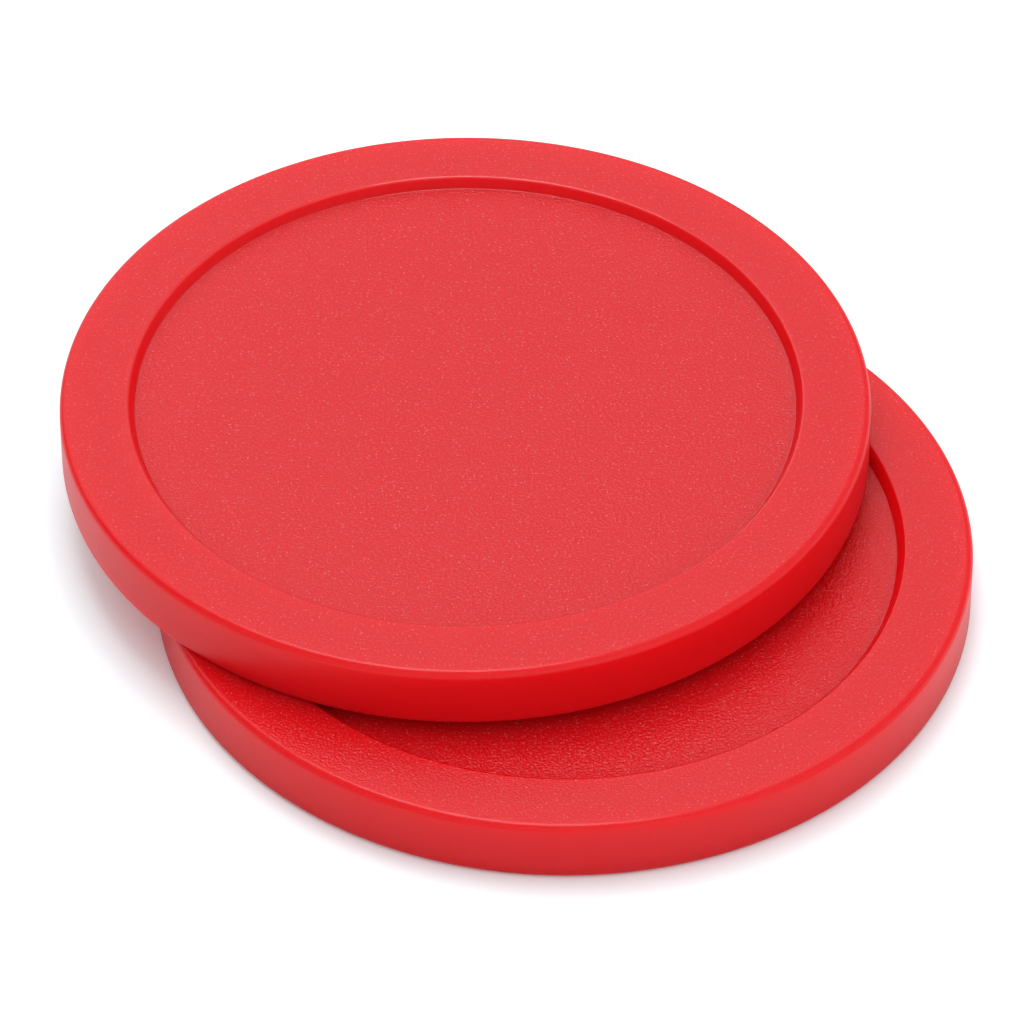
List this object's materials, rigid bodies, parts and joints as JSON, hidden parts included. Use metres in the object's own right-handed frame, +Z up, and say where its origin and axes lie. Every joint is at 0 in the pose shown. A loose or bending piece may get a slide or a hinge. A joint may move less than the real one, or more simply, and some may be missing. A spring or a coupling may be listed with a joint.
{
  "type": "game puck",
  "caption": "Stacked thin round game pucks of moulded plastic, each with rounded edges, a flat raised rim and shallow recessed faces; the upper one lifts off.",
  "frame": {"origin": "on the table under the stack, midway between the two pucks' centres in plan", "axes": "+Z up, square to the faces; +X to the right and +Y to the back, as the picture shows the stack"},
  "size_m": [0.0672, 0.0704, 0.01],
  "materials": {
    "red_plastic": "red injection-moulded plastic, fine spark-eroded grain on the flat faces, smooth rounded edges and side"
  },
  "bodies": {
    "lower_puck": {"lower_puck": "red_plastic"},
    "upper_puck": {"upper_puck": "red_plastic"}
  },
  "joints": [
    {"name": "upper_puck_lift", "type": "slide", "parent": "lower_puck", "child": "upper_puck", "axis": [0, 0, 1], "range_m": [0, 0.03]}
  ]
}
